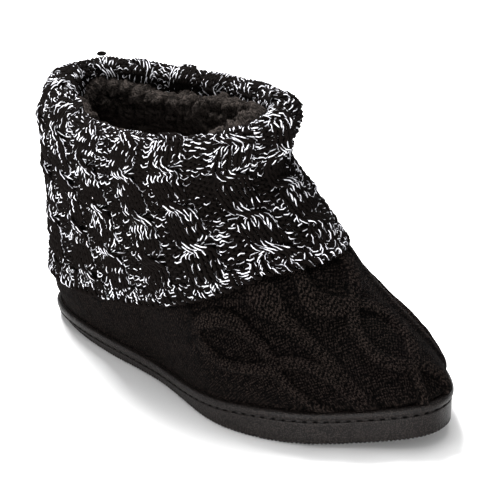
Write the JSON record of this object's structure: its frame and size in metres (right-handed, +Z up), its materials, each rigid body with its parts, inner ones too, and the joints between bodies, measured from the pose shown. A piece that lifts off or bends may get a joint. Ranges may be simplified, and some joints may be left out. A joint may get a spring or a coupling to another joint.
{
  "type": "bootie slipper",
  "caption": "Right-foot knitted bootie slipper: moulded rubber outsole, low black cable-knit upper and a thick marled cable-knit cuff turned down over the ankle.",
  "frame": {"origin": "on the floor under the middle of the shoe's bounding box", "axes": "+X from heel to toe, +Y to the inner (big toe) side of this right shoe, +Z up"},
  "size_m": [0.261, 0.1046, 0.1492],
  "materials": {
    "rubber_sole": "satin, finely grained moulded rubber",
    "pile_lining": "curly black pile",
    "black_knit": "soft black chenille cable knit",
    "marl_knit": "black and white marled cable knit"
  },
  "bodies": {
    "root": {"outsole": "rubber_sole", "insole": "pile_lining", "upper": "black_knit", "cuff": "marl_knit"}
  },
  "joints": []
}
